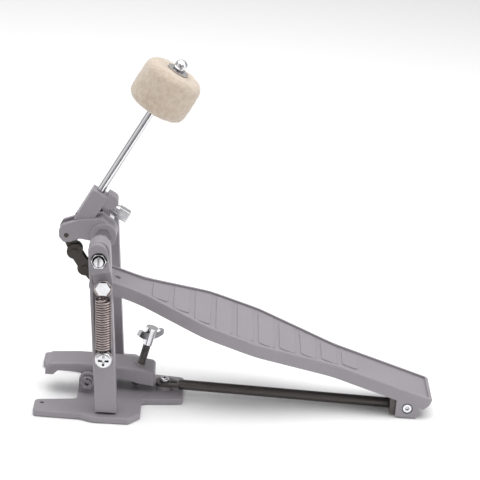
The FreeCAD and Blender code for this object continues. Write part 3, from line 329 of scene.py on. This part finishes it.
def felt_profile(steps=10):
    """Points (radius, height) from the bottom centre hole round to the top centre hole."""
    half, rim = FELT_TALL / 2, FELT_RIM
    flat = (FELT_HOLE, 8 * MM, FELT_RADIUS - rim - 2 * MM)
    points = [(r, -half) for r in flat]
    for n in range(steps + 1):
        a = -math.pi / 2 + math.pi / 2 * n / steps
        points.append((FELT_RADIUS - rim + rim * math.cos(a), -half + rim + rim * math.sin(a)))
    for n in range(1, 6):
        h = (-half + rim) + (FELT_TALL - 2 * rim) * n / 6
        points.append((FELT_RADIUS + FELT_BULGE * math.sin(math.pi * n / 6), h))
    for n in range(steps + 1):
        a = math.pi / 2 * n / steps
        points.append((FELT_RADIUS - rim + rim * math.cos(a), half - rim + rim * math.sin(a)))
    return points + [(r, half) for r in reversed(flat)]


def lathe(name, profile, sides, place):
    """A surface turned from the profile round its own Z axis, then stood in place; its ends are joined."""
    mesh = bpy.data.meshes.new(name)
    rows = len(profile)
    points = [place @ Vector((r * math.cos(2 * math.pi * k / sides), r * math.sin(2 * math.pi * k / sides), h))
              for k in range(sides) for r, h in profile]
    faces = [(k * rows + n, (k + 1) % sides * rows + n, (k + 1) % sides * rows + (n + 1) % rows,
              k * rows + (n + 1) % rows) for k in range(sides) for n in range(rows)]
    mesh.from_pydata(points, [], faces)
    mesh.update()
    return object_from(name, mesh)


felt = lathe("wool_felt", felt_profile(), sides=144, place=stand)
finer = felt.modifiers.new("finer", "SUBSURF")
finer.levels = finer.render_levels = 1
lumps = bpy.data.textures.new("wool_lumps", "CLOUDS")
lumps.noise_scale = 5 * MM
uneven = felt.modifiers.new("uneven", "DISPLACE")
uneven.texture, uneven.strength, uneven.mid_level, uneven.texture_coords = lumps, 0.5 * MM, 0.55, "LOCAL"
print("felt head has", len(felt.data.vertices), "points before it is made finer")

# %% [markdown]
# Felt scatters light from countless crossed fibres. The finish mixes two off-white wools by noise a few
# millimetres wide, sinks fine bumps of half a millimetre for the matted surface and adds sheen for the fuzz.
# Real loose fibres break the outline, so a few thousand short hairs are grown from the surface as thin strips.

# %% Wool finish and loose fibres
def pressed_wool():
    finish, tree, surface, place = start_finish("pressed_wool_felt", Roughness=0.95, IOR=1.5,
                                                Sheen_Weight=0.45, Sheen_Roughness=0.6)
    clumps = add_node(tree, "TexNoise", {"Scale": per_mm(3.2), "Detail": 6, "Roughness": 0.7}, {"Vector": place})
    matted = add_node(tree, "TexNoise", {"Scale": per_mm(0.7), "Detail": 6, "Distortion": 1.2},
                      {"Vector": place})
    wide = add_node(tree, "MapRange", {"From Min": 0.32, "From Max": 0.68}, {"Value": clumps.outputs["Fac"]})
    base = mix_colours(tree, wide.outputs["Result"], colour("#b7a491"), colour("#cdbfae"))
    tree.links.new(base, surface.inputs["Base Color"])
    add_relief(tree, surface, matted.outputs["Fac"], 0.5, 0.8)
    return finish


felt_finish = pressed_wool()
felt.data.materials.append(felt_finish)
random.seed(7)


DROOP, NARROWING = 0.45, 0.8


def grow_fibres(name, source, count, length_mm, width_mm):
    """Short bent hairs standing on the faces of source, each a strip that narrows to its tip."""
    strands = bmesh.new()
    faces = list(source.data.polygons)
    weights = [face.area for face in faces]
    for face in random.choices(faces, weights, k=count):
        root, up = face.center.copy(), face.normal
        along = Vector([random.uniform(-1, 1) for _ in range(3)]).cross(up).normalized()
        across = along.cross(up).normalized() * width_mm * MM / 2
        reach = length_mm * MM * random.uniform(0.5, 1.2)
        previous = None
        for step in range(4):
            t = step / 3
            point = root + up * reach * t * (1 - DROOP * t) + along * reach * t * t * random.uniform(0.5, 0.9)
            half_wide = across * (1 - NARROWING * t)
            pair = [strands.verts.new(point + half_wide), strands.verts.new(point - half_wide)]
            if previous:
                strands.faces.new((previous[0], previous[1], pair[1], pair[0]))
            previous = pair
    mesh = bpy.data.meshes.new(name)
    strands.to_mesh(mesh)
    strands.free()
    fibres = object_from(name, mesh)
    fibres.data.materials.append(felt_finish)
    return fibres


fuzz = grow_fibres("felt_fuzz", felt, count=5200, length_mm=1.1, width_mm=0.07)
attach(felt, "beater")
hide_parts("felt_head")
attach(fuzz, "beater")
print("grew", len(fuzz.data.polygons) // 3, "fibres")

# %% [markdown]
# The return spring is close-wound wire. Its two end loops are CAD parts on two bodies that slide apart, so the
# coil between them is made here as one tube. At each end
# the wire curls in to the middle, where the loop's straight tail takes over.

# %% Return spring coil
def tube_along(name, path, radius, sides):
    """A round tube that follows the points of path."""
    mesh = bpy.data.meshes.new(name)
    points, faces = [], []
    side = Vector((0, 1, 0))
    for n, point in enumerate(path):
        ahead = (path[min(n + 1, len(path) - 1)] - path[max(n - 1, 0)]).normalized()
        side = (side - ahead * side.dot(ahead)).normalized()
        other = ahead.cross(side)
        for k in range(sides):
            a = 2 * math.pi * k / sides
            points.append(point + side * radius * math.cos(a) + other * radius * math.sin(a))
    for n in range(len(path) - 1):
        for k in range(sides):
            j = (k + 1) % sides
            faces.append((n * sides + k, n * sides + j, (n + 1) * sides + j, (n + 1) * sides + k))
    faces.append(tuple(reversed(range(sides))))
    faces.append(tuple((len(path) - 1) * sides + k for k in range(sides)))
    mesh.from_pydata(points, [], faces)
    mesh.update()
    return object_from(name, mesh)


spring_foot = Vector(joints["spring_tilt"]["pos_m"])
spring_line = Vector(joints["spring_stretch"]["axis"]).normalized()
sideways = Vector((0, 1, 0))
outward = sideways.cross(spring_line)
COIL_FROM, COIL_TO, COIL_RADIUS, WIRE_RADIUS = 6.3 * MM, 39.1 * MM, 4.35 * MM, 0.65 * MM
TURNS, STEPS = 21, 36
CURL_TURNS = 0.45
coil_path = []
for n in range(TURNS * STEPS + 1):
    t = n / STEPS
    inward = min(1.0, (t + 0.02) / CURL_TURNS, (TURNS - t + 0.02) / CURL_TURNS)
    spread = COIL_RADIUS * math.sin(inward * math.pi / 2)
    rise = COIL_FROM + (COIL_TO - COIL_FROM) * t / TURNS
    coil_path.append(spring_foot + spring_line * rise
                     + (outward * math.cos(2 * math.pi * t) + sideways * math.sin(2 * math.pi * t)) * spread)
coil = tube_along("coiled_wire", coil_path, WIRE_RADIUS, sides=10)
coil.data.materials.append(wire_finish)
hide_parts("spring_coil")
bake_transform(coil)
print("coil has", TURNS, "turns of", round(2 * WIRE_RADIUS / MM, 1), "mm wire")

# %% [markdown]
# The wing bolt's rod is a rolled M5 thread: a ridge that climbs 0.8 mm each turn. The surface is a cylinder whose
# radius follows a rounded tooth, shifted by its angle, so the ridge is a true helix. Oil dulls its plate; it rides
# on the wing bolt body and stands for the plain CAD cylinder.

# %% Threaded rod of the wing bolt
feed_line = -Vector(joints["wing_feed"]["axis"]).normalized()
THREAD_LONG, THREAD_PITCH, CREST, ROOT = 31.0 * MM, 0.8 * MM, 2.49 * MM, 2.12 * MM
bolt_place = feed_line.to_track_quat("Z", "Y").to_matrix().to_4x4()
bolt_place.translation = mid("wing_bolt") - feed_line * THREAD_LONG / 2


def threaded_rod(name, place, length, pitch, crest, root, sides=40, per_turn=8):
    rows = int(length / pitch * per_turn)
    points = []
    for n in range(rows + 1):
        h = length * n / rows
        taper = min(1.0, 0.75 + 0.25 * h / (1.2 * MM))
        for k in range(sides):
            phase = (h / pitch - k / sides) % 1
            tooth = 0.5 - 0.5 * math.cos(2 * math.pi * phase)
            r = (root + (crest - root) * tooth ** 0.8) * taper
            points.append(place @ Vector((r * math.cos(2 * math.pi * k / sides),
                                          r * math.sin(2 * math.pi * k / sides), h)))
    faces = [(n * sides + k, n * sides + (k + 1) % sides, (n + 1) * sides + (k + 1) % sides, (n + 1) * sides + k)
             for n in range(rows) for k in range(sides)]
    faces.append(tuple(reversed(range(sides))))
    faces.append(tuple(rows * sides + k for k in range(sides)))
    mesh = bpy.data.meshes.new(name)
    mesh.from_pydata(points, [], faces)
    mesh.update()
    return object_from(name, mesh)


wing_rod = threaded_rod("rolled_thread", bolt_place, THREAD_LONG, THREAD_PITCH, CREST, ROOT)
wing_rod.data.materials.append(thread_finish)
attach(wing_rod, "wing_bolt")
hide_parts("wing_bolt")
print("thread turns:", round(THREAD_LONG / THREAD_PITCH))

# %% [markdown]
# The floor is matt pale paint on a studio cove. It has a whisper of roller texture so that it is not a flat
# colour, and it stays brighter than the pedal's shadow side. The two dark cards are plain black board.

# %% Floor and card finishes
def matt_studio_paint():
    finish, tree, surface, place = start_finish("matt_studio_paint", Roughness=0.9)
    roller = add_node(tree, "TexNoise", {"Scale": per_mm(3), "Detail": 2}, {"Vector": place})
    tone = mix_colours(tree, roller.outputs["Fac"], colour("#f7f7f7"), colour("#fcfcfc"))
    tree.links.new(tone, surface.inputs["Base Color"])
    return finish


floor.data.materials.append(matt_studio_paint())
card_finish = start_finish("black_studio_card", Roughness=1.0, Base_Color=colour("#060606"))[0]
for card in dark_cards:
    card.data.materials.append(card_finish)
print("floor and cards painted")

# %% Finish
bpy.context.view_layer.update()
